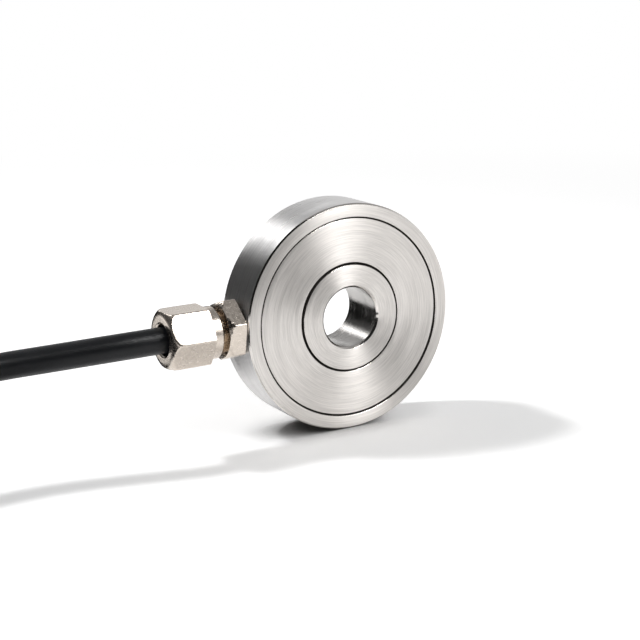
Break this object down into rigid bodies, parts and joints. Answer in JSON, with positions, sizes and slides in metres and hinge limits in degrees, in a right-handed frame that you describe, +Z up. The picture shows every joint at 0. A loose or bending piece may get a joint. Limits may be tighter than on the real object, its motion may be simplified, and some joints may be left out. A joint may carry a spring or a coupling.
{
  "type": "washer load cell",
  "caption": "Ring-shaped force washer with a closed strain-gauge cavity, a plain bore for a clamping bolt, a cable gland on the rim and a signal lead tied up in a hank, with stripped ends.",
  "frame": {"origin": "on the floor under the middle of the ring, which stands on its rim; the bore's axis is 22.986 mm above it", "axes": "Y along the bore, with the closed front face towards -Y; the cable gland points along -X; +Z is up"},
  "size_m": [0.2028, 0.0446, 0.046],
  "materials": {
    "stainless": "fine circular turning marks on the faces, brushed round the rim",
    "nickel_plate": "nickel plating over brass, satin",
    "brass": "bare, turned",
    "black_rubber": "matt",
    "black_jacket": "satin extruded jacket",
    "black_strap": "woven hook-and-loop strap",
    "gauge_film": "amber polyimide film",
    "enamelled_wire": "enamelled copper",
    "laminate": "glass-fibre laminate",
    "resistor_body": "matt chip body",
    "red_insulation": "smooth",
    "black_insulation": "smooth",
    "green_insulation": "smooth",
    "white_insulation": "smooth",
    "tinned_copper": "tinned, dull"
  },
  "bodies": {
    "root": {"sensing_body": "stainless", "cover_plate": "stainless", "strain_gauge_1": "gauge_film", "strain_gauge_2": "gauge_film", "strain_gauge_3": "gauge_film", "strain_gauge_4": "gauge_film", "gauge_lead_1a": "enamelled_wire", "gauge_lead_1b": "enamelled_wire", "gauge_lead_2a": "enamelled_wire", "gauge_lead_2b": "enamelled_wire", "gauge_lead_3a": "enamelled_wire", "gauge_lead_3b": "enamelled_wire", "gauge_lead_4a": "enamelled_wire", "gauge_lead_4b": "enamelled_wire", "terminal_board": "laminate", "trim_resistor_1": "resistor_body", "trim_resistor_2": "resistor_body", "trim_resistor_3": "resistor_body", "trim_resistor_4": "resistor_body", "gland_face_washer": "black_rubber", "gland_body": "nickel_plate", "gland_clamp_ring": "brass", "gland_seal": "black_rubber", "gland_cap_nut": "nickel_plate", "inner_core_red": "red_insulation", "inner_core_black": "black_insulation", "inner_core_green": "green_insulation", "inner_core_white": "white_insulation", "inner_drain_wire": "tinned_copper", "signal_cable": "black_jacket", "cable_coil": "black_jacket", "coil_tie_1": "black_strap", "coil_tie_2": "black_strap", "signal_cable_tail": "black_jacket", "heat_shrink_sleeve": "black_rubber", "core_red": "red_insulation", "core_black": "black_insulation", "core_green": "green_insulation", "core_white": "white_insulation", "tinned_end_red": "tinned_copper", "tinned_end_black": "tinned_copper", "tinned_end_green": "tinned_copper", "tinned_end_white": "tinned_copper", "drain_wire": "tinned_copper"}
  },
  "joints": []
}
